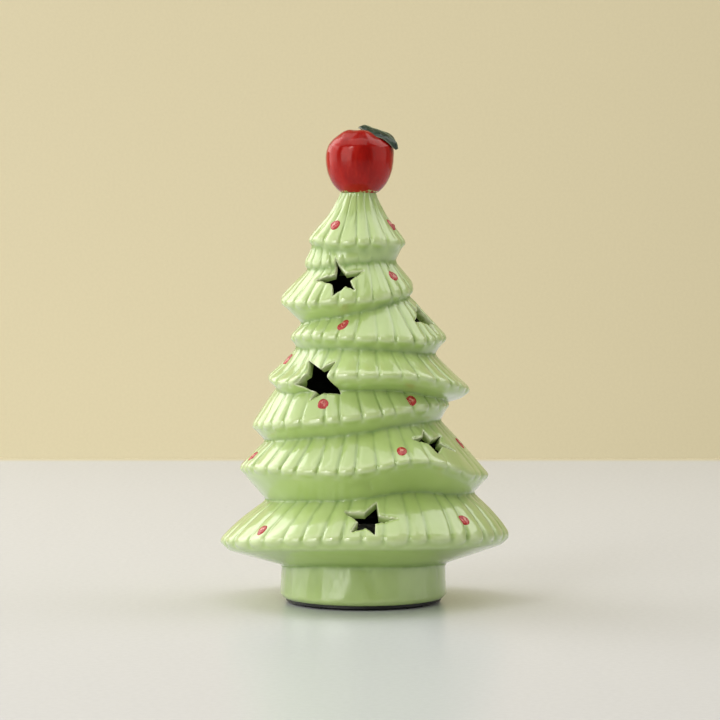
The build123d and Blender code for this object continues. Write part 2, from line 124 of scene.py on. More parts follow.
def rotation(front_up, right_up):
    """The axes of a frame whose front and right are raised by these degrees."""
    a, b = radians(-front_up), radians(-right_up)
    about_x = np.array([[1, 0, 0], [0, cos(a), -sin(a)], [0, sin(a), cos(a)]])
    about_y = np.array([[cos(b), 0, sin(b)], [0, 1, 0], [-sin(b), 0, cos(b)]])
    return about_x @ about_y


def smoothstep(low, high, x):
    t = np.clip((x - low) / (high - low), 0, 1)
    return t * t * (3 - 2 * t)


def bell(x, spread):
    return np.exp(-((x / spread) ** 2))


def turned(azimuth, degrees):
    """How far an angle lies from a place given in degrees, the short way round."""
    return (azimuth - radians(degrees) + pi) % (2 * pi) - pi


def rounded_line(points, sigma, step=0.05):
    """A polyline with its corners rounded: resampled by length and blurred along it."""
    points = np.array(points, float)
    lengths = np.r_[0, np.cumsum(np.hypot(*np.diff(points, axis=0).T))]
    along = np.arange(0, lengths[-1], step)
    line = np.column_stack([np.interp(along, lengths, points[:, k]) for k in (0, 1)])
    reach = int(4 * sigma / step)
    kernel = bell(np.arange(-reach, reach + 1) * step, sigma * 2**0.5)
    kernel /= kernel.sum()
    first = line[0] + (line[0] - line[1]) * np.arange(reach, 0, -1)[:, None]
    last = line[-1] + (line[-1] - line[-2]) * np.arange(1, reach + 1)[:, None]
    padded = np.vstack([first, line, last])
    return np.column_stack([np.convolve(padded[:, k], kernel, "valid") for k in (0, 1)])


class Tier:
    """One fluted tier: its tilted frame, its groove-level profile and its ribs."""

    def __init__(self, index):
        self.index = index
        self.radius = RIM_RADIUS[index] * SKIRT_RADIUS
        height = LIFT + RIM_HEIGHT[index] * SHELL_HEIGHT
        self.origin = np.array([RIM_SHIFT[index] * SKIRT_RADIUS, 0, height])
        self.axes = rotation(FRONT_UP[index], RIGHT_UP[index])
        self.lip_drop = LIP[index]
        self.lip = self.radius - LIP_INSET - FLUTE_RISE
        self.end = UNDER_END[index] * self.radius
        self.drop = (self.lip - self.end) * tan(radians(UNDER[index]))
        self.rise = self.radius * (1 - SLOPE_TOP[index]) * tan(radians(SLOPE[index]))
        self.top = SLOPE_TOP[index]
        if index == CROWN:
            self.rise = (1 - RIM_HEIGHT[CROWN]) * SHELL_HEIGHT
            self.top = NECK_RADIUS / self.radius
        self.make_profile()
        self.make_ribs()

    def make_profile(self):
        """Heights and radii of the section along a groove, from below over the rim to the slope's top."""
        low = -self.lip_drop - self.drop
        groove = 1 - FLUTE_RISE / self.radius
        slope = [(0, self.radius - FLUTE_RISE)]
        for share in (0.25, 0.5, 0.75):
            bulge = BULGE[self.index] * 4 * share * (1 - share)
            out = self.radius * groove * (1 - share * (1 - self.top)) + bulge
            slope.append((share * self.rise, out))
        if self.index == CROWN:
            out, up = CROWN_WAIST
            slope = [slope[0], (up * self.rise, out * self.radius * groove)]
        under = []
        for share in (0.75, 0.5, 0.25):
            bulge = UNDER_BULGE * 4 * share * (1 - share)
            out = self.lip + share * (self.end - self.lip) + bulge
            under.append((-self.lip_drop - share * self.drop, out))
        inner = self.top * self.radius * groove
        above = (self.rise + RUN_UP, inner if self.index == CROWN else inner - RUN_IN)
        points = [(low - RUN_UP, self.end - RUN_IN), (low, self.end), *under, (-self.lip_drop, self.lip)]
        points += [*slope, (self.rise, inner), above]
        line = rounded_line(points, ROUNDING)
        # Rounding draws the rim in, and this lets it out again
        missing = self.radius - FLUTE_RISE - line[:, 1].max()
        line[:, 1] += missing * bell(line[:, 0] + 1, 5)
        self.line = line

    def make_ribs(self):
        """Draws ribs of unequal width, height and length."""
        count = FLUTES[self.index]
        places = np.arange(count) + rng.uniform(*RIB_PLACE, count)
        self.places = np.r_[places[-1] - count, places, places[0] + count]
        self.gain = rng.uniform(*RIB_GAIN, count + 1)
        self.cut = rng.uniform(*GROOVE_CUT, count + 1)
        self.tail = rng.uniform(*RIB_TAIL, count + 1)

    def rim_wave(self, azimuth):
        """How far the rim itself wanders up and down, in millimetres."""
        wave = sum(size * np.sin(turns * azimuth + phase * self.index) for size, turns, phase in RIM_WAVES)
        for index, degrees, spread, rise in RIM_BUMPS:
            if index == self.index:
                wave = wave + rise * bell(turned(azimuth, degrees), radians(spread))
        return wave

    def reach(self, height, angle, fluted):
        """Distance of the surface from the tier's own axis, with or without its ribs."""
        azimuth = angle + pi / 2
        lowered = smoothstep(self.rise, 0, height)
        height = height - self.rim_wave(azimuth) * lowered
        base = np.interp(height, self.line[:, 0], self.line[:, 1])
        if not fluted:
            return base
        # Which rib a point is on, and how far across it
        count = FLUTES[self.index]
        sway = 0
        for swing, turns, lean, phase in RIB_SWAYS:
            sway = sway + swing * np.sin(turns * angle + lean * height + phase * self.index)
        turn = (angle / (2 * pi) * count + sway) % count
        place = np.interp(turn, self.places, np.arange(len(self.places)) - 1)
        rib = np.floor(place).astype(int) % count
        part = place - np.floor(place)
        crest = 1 - np.abs(2 * part - 1)
        cut = self.cut[np.where(part < 0.5, rib, (rib + 1) % count)]
        # Rounded ribs with narrow grooves, which grow shallower up the slope
        top = GROOVE_TOP[self.index]
        levels = (0, 0.2 * self.rise, 0.45 * self.rise, self.rise)
        deep = np.interp(height, levels, (1, 0.8, max(0.4, top), top))
        shape = 1 - GROOVE_DEPTH * cut * deep * bell(crest, GROOVE_WIDTH) - FLANK_FALL * (1 - crest) ** 2
        for index, degrees, spread, share in RIB_FADES:
            if index == self.index:
                fade = share * bell(turned(azimuth, degrees), radians(spread))
                fade = fade * smoothstep(0.75 * self.rise, 0.2 * self.rise, height)
                shape = shape + fade * (0.8 - shape)
        # Ribs grow smaller up the slope, and each ends in a round tip under the lip
        size = np.interp(height, (0, 0.35 * self.rise, self.rise), (1, 0.75, 0.22 + 0.45 * self.top))
        round_end = np.sqrt(np.clip(1 - (1 - crest) ** 2, 0, 1))
        tail = self.lip_drop * (0.12 + 0.48 * round_end) + self.tail[rib] * round_end
        ending = smoothstep(-tail - RIB_END, -tail + RIB_END, height)
        return base + FLUTE_RISE * self.gain[rib] * size * shape * ending

    def surface(self, angles, heights, fluted):
        """Distance of the tier's surface from the tree's axis, on a grid of angles and heights."""
        along, across = np.cos(angles)[:, None], np.sin(angles)[:, None]
        out = np.full((len(angles), len(heights)), self.radius)
        up = heights[None, :] - self.origin[2]
        for _ in range(SETTLE_STEPS):
            x, y = out * along - self.origin[0], out * across - self.origin[1]
            local = [self.axes[0, k] * x + self.axes[1, k] * y + self.axes[2, k] * up for k in range(3)]
            local[0] = local[0] - LEAN[self.index] * np.clip(local[2] / self.rise, 0, 1)
            angle = np.arctan2(local[1], local[0]) % (2 * pi)
            step = self.reach(local[2], angle, fluted) - np.hypot(local[0], local[1])
            out = np.clip(out + SETTLE_SHARE * step, 0, LARGEST_RADIUS)
        return out


tiers = [Tier(k) for k in range(len(FLUTES))]
angles = np.arange(COLUMNS) * 2 * pi / COLUMNS
heights = np.arange(LIFT, NECK_TOP + Z_STEP / 2, Z_STEP)


def trunk_line():
    """Heights and radii of the trunk's outside, from its rounded foot up into the skirt."""
    top = LIFT + RIM_HEIGHT[SKIRT] * SHELL_HEIGHT
    foot = TRUNK_RADIUS + TRUNK_FLARE
    points = [
        (LIFT, foot - TRUNK_EDGE),
        (LIFT + TRUNK_EDGE, foot),
        (LIFT + TRUNK_WAIST * (top - LIFT), TRUNK_RADIUS),
        (top, TRUNK_RADIUS),
        (top + RUN_UP, TRUNK_RADIUS - RUN_IN),
    ]
    return rounded_line(points, TRUNK_ROUNDING)


def shell_radius(fluted):
    """The union of all tiers and the trunk, with small fillets where they meet."""
    total = np.zeros((COLUMNS, len(heights)))
    trunk = trunk_line()
    trunk_out = np.interp(heights, trunk[:, 0], trunk[:, 1])
    total += np.exp(trunk_out / BLEND)[None, :]
    for tier in tiers:
        # A tilted tier is looked for this much above and below its own heights
        lean = tier.radius * 0.15 + 5
        low = tier.origin[2] - tier.lip_drop - tier.drop - lean
        high = tier.origin[2] + tier.rise + lean
        band = (heights > low) & (heights < high)
        total[:, band] += np.exp(tier.surface(angles, heights[band], fluted) / BLEND)
    return BLEND * np.log(total)


outer = shell_radius(True)
groove_level = shell_radius(False)


def rows_by_length(radius, count, weight):
    """Heights of rows along each meridian, top to bottom, closer together where it bends."""
    step = np.diff(radius, axis=1)
    turn = np.abs(np.diff(np.arctan2(step, Z_STEP), axis=1, prepend=0))
    turn[:, 0] = 0
    length = np.hypot(step, Z_STEP) + weight * turn
    length = np.column_stack([np.zeros(len(radius)), np.cumsum(length, axis=1)])
    rows = np.empty((count, len(radius)))
    for k in range(len(radius)):
        rows[:, k] = np.interp(np.linspace(length[k, -1], 0, count), length[k], heights)
    return rows


def at_rows(radius, rows):
    """Radii where the rows cross each meridian."""
    return np.column_stack([np.interp(rows[:, k], heights, radius[k]) for k in range(rows.shape[1])])


def inner_radius():
    """The hollow, one wall inside the groove level."""
    steps = int(WALL / Z_STEP)
    inner = np.full_like(groove_level, FAR)
    for k in range(-steps, steps + 1):
        inset = (WALL**2 - (k * Z_STEP) ** 2) ** 0.5
        low, high = max(0, -k), min(len(heights), len(heights) - k)
        inner[:, low:high] = np.minimum(inner[:, low:high], groove_level[:, low + k:high + k] - inset)
    inner[:, heights < BORE_TOP] = BORE_RADIUS
    return np.maximum(inner, NECK_RADIUS - WALL)


def ring_points(radius, rows):
    """Points of a grid from its radii and heights."""
    return np.stack([radius * np.cos(angles), radius * np.sin(angles), rows], axis=-1)


outer_rows = rows_by_length(groove_level, OUTER_ROWS, BEND_WEIGHT)
outer_points = ring_points(at_rows(outer, outer_rows), outer_rows)
hollow = inner_radius()
inner_rows = rows_by_length(hollow, INNER_ROWS, 0.0)[::-1]
inner_points = ring_points(at_rows(hollow, inner_rows), inner_rows)


def grid_normals(points):
    """Outward normals of a grid that closes round."""
    down = np.gradient(points, axis=0)
    around = np.roll(points, -1, axis=1) - np.roll(points, 1, axis=1)
    normal = np.cross(down, around)
    return normal / np.linalg.norm(normal, axis=-1, keepdims=True)


def blurred(field, times):
    """A field over such a grid, smoothed both ways so many times."""
    for _ in range(times):
        field = (np.roll(field, 1, axis=1) + np.roll(field, -1, axis=1) + 2 * field) / 4
        ends = np.concatenate([field[:1], field, field[-1:]])
        field = (ends[:-2] + ends[2:] + 2 * field) / 4
    return field


def lumps(times):
    """A smooth random field over the outer grid, with unit spread."""
    field = blurred(rng.standard_normal((OUTER_ROWS, COLUMNS)), times)
    return field / field.std()


outer_normals = grid_normals(outer_points)
unevenness = LUMP_BROAD * lumps(BROAD_BLUR) + LUMP_FINE * lumps(FINE_BLUR)
unevenness = np.clip(unevenness, LUMP_SINK, LUMP_RISE)
# Undersides stay smooth
unevenness *= 1 - smoothstep(0.1, -0.4, outer_normals[..., 2])
outer_points += outer_normals * unevenness[..., None]
outer_normals = grid_normals(outer_points)


def hollowness(times):
    """How deep the surface lies below its blurred self, in millimetres."""
    return np.sum(outer_normals * (blurred(outer_points, times) - outer_points), axis=-1)


# Glaze pools in the grooves and the creases between tiers, and thins out on ribs and rims
groove, crease = hollowness(6), hollowness(40)
pool = blurred(np.clip(groove / 0.22, 0, 1) * 0.7 + np.clip(crease / 1.6, 0, 1) * 0.6, 2)
thin = blurred(np.clip(-groove / 0.16, 0, 1) * 0.8 + np.clip(-crease / 1.4, 0, 1) * 0.5, 2)
# Undersides get a deeper, more saturated green in the glaze: painted shade
underside_shade = blurred(np.clip(-outer_normals[..., 2], 0, 1), 3)

# Stars of the front: tier, degrees right of the front, place up the slope, degrees that the star faces
# above level, and depth of the cut in walls
STARS = (
    (2, -8.0, 0.57, 42, 2.2),
    (3, 70.0, 0.50, 42, 2.2),
    (4, -32.0, -0.02, 18, 4.0),
    (6, 44.0, 0.48, 44, 2.2),
    (7, 2.0, 0.31, 49, 1.7),
)
# Their corners, cut by hand and uneven, as shares of the star radius
STAR_CORNERS = (
    ((-0.15, 0.20), (-1.00, 0.15), (-0.25, -0.30), (-0.20, -0.90), (0.30, -0.45),
     (0.70, -0.65), (0.50, -0.20), (1.05, 0.35), (0.30, 0.20), (-0.10, 0.80)),
    ((-0.45, 0.20), (-1.00, -0.10), (-0.30, -0.30), (-0.15, -0.90), (0.15, -0.35),
     (0.65, -0.35), (0.35, 0.05), (0.40, 0.70), (-0.20, 0.35), (-0.50, 0.85)),
    ((-0.55, 0.10), (-1.05, -0.35), (-0.30, -0.45), (-0.40, -0.85), (0.05, -0.45),
     (0.75, -0.40), (0.55, -0.10), (0.55, 0.75), (0.00, 0.35), (-0.95, 0.85)),
    ((-0.55, -0.25), (-0.40, -0.85), (0.25, -0.35), (1.05, -0.45), (0.25, -0.15),
     (0.70, 0.35), (-0.05, 0.05), (-0.20, 0.55), (-0.55, 0.15), (-1.20, 0.05)),
    ((-0.45, -0.15), (-0.75, -0.70), (-0.15, -0.50), (0.20, -0.90), (0.25, -0.30),
     (1.15, 0.00), (0.40, 0.15), (0.35, 0.95), (-0.15, 0.35), (-0.95, 0.50)),
)
# The stars of the back are the same ones, turned
BACK_TURN = 155
# Rounding of a star's edge, how far its cutter stands out and half the width of the block it is in
STAR_ROUND = 0.9
STAR_PROUD = 5.4
STAR_REACH = 13.0
# Width of the pale edge and of the glazed wall, the depths where the edge fades, and what counts as sharp
STAR_EDGE = 0.6
STAR_WALL = 0.1
EDGE_FADE = (2.4, 1.2)
SHARP_ANGLE = 52


class Star:
    """A star cut on a tier: its plane and its corners."""

    def __init__(self, corners, index, azimuth, up_share, facing, walls):
        tier = tiers[index]
        height = up_share * tier.radius * (1 - SLOPE_TOP[index]) * tan(radians(SLOPE[index]))
        reach = tier.radius - FLUTE_RISE - height / tan(radians(SLOPE[index]))
        right, front = sin(radians(azimuth)), cos(radians(azimuth))
        level, up = cos(radians(facing)), sin(radians(facing))
        x, y, z = tier.axes.T
        self.origin = tier.origin + tier.axes @ np.array([reach * right, -reach * front, height])
        self.out = x * right * level - y * front * level + z * up
        self.side = x * front + y * right
        self.up = np.cross(self.out, self.side)
        self.depth = walls * WALL
        self.corners = STAR_RADIUS * np.array(corners)

    def local(self, points):
        """Places of points along the star's side, its up and its out."""
        offset = points - self.origin
        return offset @ self.side, offset @ self.up, offset @ self.out

    def near(self, u, v, w):
        """Whether points are in the block that the cut comes from."""
        return (np.abs(u) < STAR_REACH) & (np.abs(v) < STAR_REACH) & (w > -self.depth) & (w < STAR_PROUD)

    def distance(self, u, v):
        """Distance from the outline, negative inside."""
        nearest = np.full(u.shape, FAR)
        inside = np.zeros(u.shape, bool)
        for (ax, ay), (bx, by) in zip(self.corners, np.roll(self.corners, -1, axis=0)):
            dx, dy = bx - ax, by - ay
            t = np.clip(((u - ax) * dx + (v - ay) * dy) / (dx * dx + dy * dy), 0, 1)
            nearest = np.minimum(nearest, np.hypot(u - ax - t * dx, v - ay - t * dy))
            crosses = (ay > v) != (by > v)
            inside ^= crosses & (u < ax + (v - ay) * dx / (dy if dy else 1e-9))
        return np.where(inside, -nearest, nearest)

    def prism(self):
        """Corners of the cutter, its outer end first."""
        rings = []
        for level in (STAR_PROUD, -self.depth):
            plan = self.corners[:, :1] * self.side + self.corners[:, 1:] * self.up
            rings.append(self.origin + plan + self.out * level)
        return np.vstack(rings)


stars = []
for corners, (index, azimuth, *place) in zip(STAR_CORNERS, STARS):
    stars += [Star(corners, index, azimuth + turn, *place) for turn in (0, BACK_TURN)]


def soften_star_edges(points, normals):
    """Lets the surface roll over into each star's edge, as glaze does."""
    for star in stars:
        u, v, w = star.local(points)
        near = star.near(u, v, w)
        gap = np.clip(STAR_ROUND - star.distance(u[near], v[near]), 0, STAR_ROUND)
        sunk = STAR_ROUND - np.sqrt(STAR_ROUND**2 - gap**2)
        points[near] -= normals[near] * sunk[:, None]


soften_star_edges(outer_points, outer_normals)


def new_object(name, points, faces, smooth=True):
    """A mesh object from points in millimetres."""
    mesh = bpy.data.meshes.new(name)
    mesh.from_pydata((np.asarray(points) * MM).tolist(), [], faces)
    mesh.validate()
    if smooth:
        mesh.shade_smooth()
    thing = bpy.data.objects.new(name, mesh)
    bpy.context.scene.collection.objects.link(thing)
    return thing


def loop_faces(rows, columns, close_rows):
    """Quads over a grid that closes round, and end to end if asked."""
    row = np.arange(rows if close_rows else rows - 1)[:, None]
    column = np.arange(columns)[None, :]
    after, beside = (row + 1) % rows, (column + 1) % columns
    quad = [row * columns + column, after * columns + column]
    quad += [after * columns + beside, row * columns + beside]
    return np.stack(np.broadcast_arrays(*quad), axis=-1).reshape(-1, 4).tolist()


def put_value(mesh, name, values):
    """Stores a number for each point, for a material to use."""
    layer = mesh.attributes.new(name, "FLOAT", "POINT")
    layer.data.foreach_set("value", np.asarray(values, np.float32).ravel())


def mesh_points(mesh):
    """The points of a mesh in millimetres."""
    points = np.empty(len(mesh.vertices) * 3, np.float32)
    mesh.vertices.foreach_get("co", points)
    return points.reshape(-1, 3).astype(float) / MM


def build_shell():
    """The glazed body as one closed skin, with the stars cut out of it."""
    points = np.concatenate([outer_points, inner_points]).reshape(-1, 3)
    shell = new_object("glazed_shell", points, loop_faces(OUTER_ROWS + INNER_ROWS, COLUMNS, True))
    blank = np.zeros(INNER_ROWS * COLUMNS)
    for name, field in (("pool", pool), ("thin", thin), ("under", underside_shade)):
        put_value(shell.data, name, np.r_[field.ravel(), blank])
    # Only the outer skin keeps the glaze colour; the material paints the inside dark as shade
    put_value(shell.data, "skin", np.r_[np.ones(OUTER_ROWS * COLUMNS), blank])
    corners, faces = [], []
    count = len(STAR_CORNERS[0])
    for number, star in enumerate(stars):
        near = 2 * count * number
        far = near + count
        corners.append(star.prism())
        faces.append([near + k for k in range(count)])
        faces.append([far + k for k in reversed(range(count))])
        for k in range(count):
            after = (k + 1) % count
            faces.append([far + k, far + after, near + after, near + k])
    cutter = new_object("star_cutter", np.vstack(corners), faces, smooth=False)
    cut = shell.modifiers.new("stars", "BOOLEAN")
    cut.operation = "DIFFERENCE"
    cut.solver = "MANIFOLD"
    cut.object = cutter
    graph = bpy.context.evaluated_depsgraph_get()
    carved = bpy.data.meshes.new_from_object(shell.evaluated_get(graph))
    shell.modifiers.clear()
    shell.data = carved
    bpy.data.objects.remove(cutter)
    carved.set_sharp_from_angle(angle=radians(SHARP_ANGLE))
    return shell


shell = build_shell()


def mark_edges(mesh):
    """Marks the outer edges of the stars, and their walls as glazed like the outside."""
    points = mesh_points(mesh)
    column = (np.arctan2(points[:, 1], points[:, 0]) / (2 * pi) * COLUMNS).astype(int) % COLUMNS
    row = np.clip(((points[:, 2] - LIFT) / Z_STEP).astype(int), 0, len(heights) - 1)
    shallow = smoothstep(*EDGE_FADE, outer[column, row] - np.hypot(points[:, 0], points[:, 1]))
    skin = np.empty(len(points), np.float32)
    mesh.attributes["skin"].data.foreach_get("value", skin)
    edge = np.zeros(len(points))
    for star in stars:
        u, v, w = star.local(points)
        near = star.near(u, v, w)
        away = np.abs(star.distance(u[near], v[near]))
        edge[near] = np.maximum(edge[near], bell(away, STAR_EDGE) * shallow[near])
        skin[near] = np.maximum(skin[near], bell(away, STAR_WALL))
    put_value(mesh, "edge", edge)
    mesh.attributes["skin"].data.foreach_set("value", skin)


mark_edges(shell.data)
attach(shell, "tree")
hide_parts("tree_shell")

# Apple: radius and height shares from its seat over the shoulder into the dimple
APPLE_RADIUS = 14.3
APPLE_HEIGHT = 27.4
APPLE_SHARES = (
    (0.27, 0.00), (0.49, 0.00), (0.56, 0.02), (0.67, 0.075), (0.79, 0.155), (0.90, 0.275),
    (0.96, 0.385), (0.985, 0.50), (0.985, 0.62), (0.945, 0.72), (0.82, 0.81), (0.67, 0.87),
    (0.53, 0.925), (0.36, 0.962), (0.22, 0.955), (0.08, 0.93), (0.00, 0.92),
)
# The same for the hollow inside it
CORE_SHARES = ((0.00, 0.76), (0.30, 0.78), (0.50, 0.74), (0.72, 0.60), (0.64, 0.34), (0.27, 0.06))
APPLE_SIZE = (APPLE_RADIUS, APPLE_HEIGHT)
APPLE_ROUNDING = 0.7
APPLE_COLUMNS = 128
ROW_STEP = 9
# Radius that is left where a line meets the axis
PINCH = 0.02
seat_axes = tiers[CROWN].axes
seat = tiers[CROWN].origin + seat_axes @ np.array([0, 0, tiers[CROWN].rise])


def on_seat(points):
    """Points from the apple's own frame, moved to its seat on the neck."""
    return seat + np.asarray(points) @ seat_axes.T


def build_apple():
    """The apple's outside and hollow as one closed skin, with lobes that grow towards both ends."""
    line = rounded_line(np.array(APPLE_SHARES) * APPLE_SIZE, APPLE_ROUNDING)
    line[:, 0] = np.maximum(line[:, 0], PINCH)
    core = np.array(CORE_SHARES) * APPLE_SIZE + (PINCH, 0)
    line = np.vstack([line[::ROW_STEP], line[-1:], core])
    turn = np.arange(APPLE_COLUMNS) * 2 * pi / APPLE_COLUMNS
    out, up = line[:, :1], line[:, 1:]
    share = up / APPLE_HEIGHT
    # Five lobes at the top and at the seat, a slightly uneven round, and shoulders that lean to one side
    lobes = 0.022 * np.cos(5 * turn + 0.7) * smoothstep(0.45, 1.0, share)
    lobes = lobes + 0.016 * np.cos(5 * turn + 1.3) * smoothstep(0.45, 0.05, share)
    lobes = lobes + 0.014 * np.sin(2 * turn + 0.5) + 0.008 * np.sin(3 * turn + 2.0)
    lobes = lobes + 0.03 * np.cos(turn) * smoothstep(0.55, 0.8, share)
    radius = out * (1 + lobes)
    # The top lobes also stand up round the dimple
    lift = 0.2 * np.cos(5 * turn + 0.7) * smoothstep(0.8, 1.0, share)
    lift = lift * smoothstep(0.1, 0.5, out / APPLE_RADIUS)
    points = np.stack([radius * np.cos(turn), radius * np.sin(turn), up + lift], axis=-1)
    faces = loop_faces(len(line), APPLE_COLUMNS, True)
    apple = new_object("glazed_apple", on_seat(points.reshape(-1, 3)), faces)
    put_value(apple.data, "up", np.repeat(up[:, 0], APPLE_COLUMNS))
    return apple


apple = build_apple()
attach(apple, "tree")
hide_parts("apple")

# Leaf: bent over the shoulder, folded along its midrib, with a stub of stalk
LEAF_HALF_WIDTH = 5.0
LEAF_HALF_THICKNESS = 0.95
LEAF_TURN = -15
LEAF_ROUNDING = 0.8
# How far the half nearer the front hangs and the other half stands up, and the height of the midrib
NEAR_DROOP, FAR_RISE = -1.2, 1.3
MIDRIB = 0.55
# Its middle line from the stalk to the tip, as shares of the apple's radius and height
LEAF_PATH = (
    (-0.03, 1.00), (0.10, 1.00), (0.25, 0.96), (0.41, 0.94),
    (0.61, 0.91), (0.82, 0.855), (1.01, 0.77), (1.12, 0.68),
)
LEAF_ROWS, LEAF_COLUMNS = 72, 48


def build_leaf():
    """A thin closed skin swept along the leaf's middle line, as wide as the blade is there."""
    line = rounded_line(np.array(LEAF_PATH) * APPLE_SIZE, LEAF_ROUNDING)
    line = line[np.linspace(0, len(line) - 1, LEAF_ROWS).astype(int)]
    along = np.gradient(line, axis=0)
    along /= np.linalg.norm(along, axis=1, keepdims=True)
    normal = np.column_stack([-along[:, 1], along[:, 0]])
    share = np.linspace(0, 1, LEAF_ROWS)[:, None]
    turn = np.arange(LEAF_COLUMNS) * 2 * pi / LEAF_COLUMNS
    across, over = np.cos(turn)[None, :], np.sin(turn)[None, :]
    # Outline: a blade that runs out into the stalk and the tip, with a slightly wavy rim
    blade = np.clip(np.sin(pi * np.clip(share * 0.93 + 0.05, 0, 1) ** 0.9), 0, 1) ** 0.75
    stalk = 0.9 * smoothstep(0.0, 0.05, share) * smoothstep(1.0, 0.96, share) + 0.05
    width = np.maximum(LEAF_HALF_WIDTH * blade, stalk)
    width = width * (1 + 0.035 * np.sin(19 * share + 1.0))
    # Section: thickest along the middle, thin at the rims and at both ends
    side = np.sign(across) * np.abs(across) ** 0.8
    ends = smoothstep(-0.06, 0.10, share) * smoothstep(1.04, 0.86, share)
    thick = LEAF_HALF_THICKNESS * (1 - 0.55 * np.abs(side) ** 3) * ends + 0.04
    lift = np.sign(over) * np.abs(over) ** 0.7 * thick
    # Veins and midrib, on the upper side only
    veins = 0.10 * np.sin(34 * share - 5.0 * np.abs(side)) * bell(np.abs(side) - 0.5, 0.42)
    ribbed = (veins + MIDRIB * bell(side, 0.12)) * smoothstep(0, 0.6, over) * smoothstep(0.02, 0.15, share)
    # Fold along the midrib, with small waves in both rims
    droop = np.where(side < 0, NEAR_DROOP, FAR_RISE) * side**2 * blade
    droop = droop + 0.3 * np.sin(11 * share + 0.4) * side**2
    height = lift + ribbed + droop
    x = line[:, :1] + normal[:, :1] * height
    z = line[:, 1:] + normal[:, 1:] * height
    y = width * side + 0 * x
    points = np.stack([x, y, z], axis=-1)
    a = radians(LEAF_TURN)
    spin = np.array([[cos(a), -sin(a), 0], [sin(a), cos(a), 0], [0, 0, 1]])
    points = points.reshape(-1, 3) @ spin.T
    faces = loop_faces(LEAF_ROWS, LEAF_COLUMNS, False)
    faces.append(list(range(LEAF_COLUMNS)))
    faces.append(list(range(LEAF_COLUMNS * LEAF_ROWS - 1, LEAF_COLUMNS * (LEAF_ROWS - 1) - 1, -1)))
    leaf = new_object("glazed_leaf", on_seat(points), faces)
    # Where the material paints the midrib's pale line, a painted highlight
    put_value(leaf.data, "rib", (bell(side, 0.16) * smoothstep(0, 0.5, over) + 0 * x).ravel())
    # Where the material paints pale edge glints and the stalk's pale end, partly painted highlight
    put_value(leaf.data, "rim", (np.abs(side) ** 6 + smoothstep(0.06, 0.0, share) + 0 * x).ravel())
    return leaf


leaf = build_leaf()
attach(leaf, "tree")
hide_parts("apple_leaf")

# Camera at the photograph's place, in metres, with its focal length in pixels of a square picture
CAMERA_PLACE = (-0.001463, -1.4, 0.177)
CAMERA_AIM = 0.1014
FOCAL_PIXELS = 3354
PICTURE_PIXELS = 720
SENSOR = 36
camera_data = bpy.data.cameras.new("camera")
camera_data.sensor_width = SENSOR
camera_data.lens = FOCAL_PIXELS / PICTURE_PIXELS * SENSOR
camera = bpy.data.objects.new("camera", camera_data)
bpy.context.scene.collection.objects.link(camera)
camera.location = CAMERA_PLACE
aim = Vector((CAMERA_PLACE[0], 0, CAMERA_AIM)) - camera.location
camera.rotation_euler = aim.to_track_quat("-Z", "Y").to_euler()
bpy.context.scene.camera = camera

# Painted dots: the front ones by their place in the camera's picture, in pixels, the others by degrees
# right of the front and height in millimetres
FRONT_DOTS = (
    (335, 225), (391, 225), (393, 276), (343, 325), (288, 359), (323, 404), (411, 401), (402, 451),
    (460, 443), (253, 456), (262, 530), (464, 520),
)
BACK_DOTS = (
    (150, 155), (-120, 152), (115, 136), (-165, 138), (150, 116), (-114, 112), (172, 96), (105, 98),
    (-130, 84), (140, 78), (-160, 62), (120, 60), (-95, 58), (178, 36), (105, 38), (-125, 37), (140, 34),
)
# Ranges of a dot's tilt in radians and of its half length and half width
DOT_TILT, DOT_LENGTH, DOT_WIDTH = (-0.7, 0.7), (2.5, 2.9), (2.1, 2.5)
# A dot's rings as shares of its size, how far each stands off the glaze, and points in a ring
DOT_RINGS = (0.0, 0.3, 0.55, 0.75, 0.9, 1.0, 1.06)
DOT_RISES = (0.34, 0.33, 0.30, 0.26, 0.18, 0.02, -0.35)
DOT_SPOKES = 28
# Height in metres from which the glaze is felt for, and how far off it may be found
DOT_PROBE, DOT_STRAY = 0.004, 0.0014
RAY_START = 0.2


def dot_rays():
    """Rays that meet the glaze at the middle of each dot."""
    pitch = np.arctan2(CAMERA_PLACE[2] - CAMERA_AIM, -CAMERA_PLACE[1])
    middle = PICTURE_PIXELS / 2
    for px, py in FRONT_DOTS:
        right, up = (px - middle) / FOCAL_PIXELS, (middle - py) / FOCAL_PIXELS
        way = Vector((right, cos(pitch) + up * sin(pitch), up * cos(pitch) - sin(pitch)))
        yield Vector(CAMERA_PLACE), way.normalized()
    for azimuth, height in BACK_DOTS:
        way = Vector((sin(radians(azimuth)), -cos(radians(azimuth)), 0.0))
        yield way * RAY_START + Vector((0, 0, height * MM)), -way


def brush_mark():
    """An uneven oval in its own plane, in millimetres."""
    tilt, long, wide = (rng.uniform(*span) for span in (DOT_TILT, DOT_LENGTH, DOT_WIDTH))
    turn = np.arange(DOT_SPOKES) * 2 * pi / DOT_SPOKES
    edge = 1 + 0.07 * np.sin(2 * turn + rng.uniform(0, 6))
    edge = edge + 0.05 * np.sin(3 * turn + rng.uniform(0, 6))
    across, along = edge * wide * np.cos(turn), edge * long * np.sin(turn)
    return across * cos(tilt) - along * sin(tilt), across * sin(tilt) + along * cos(tilt)


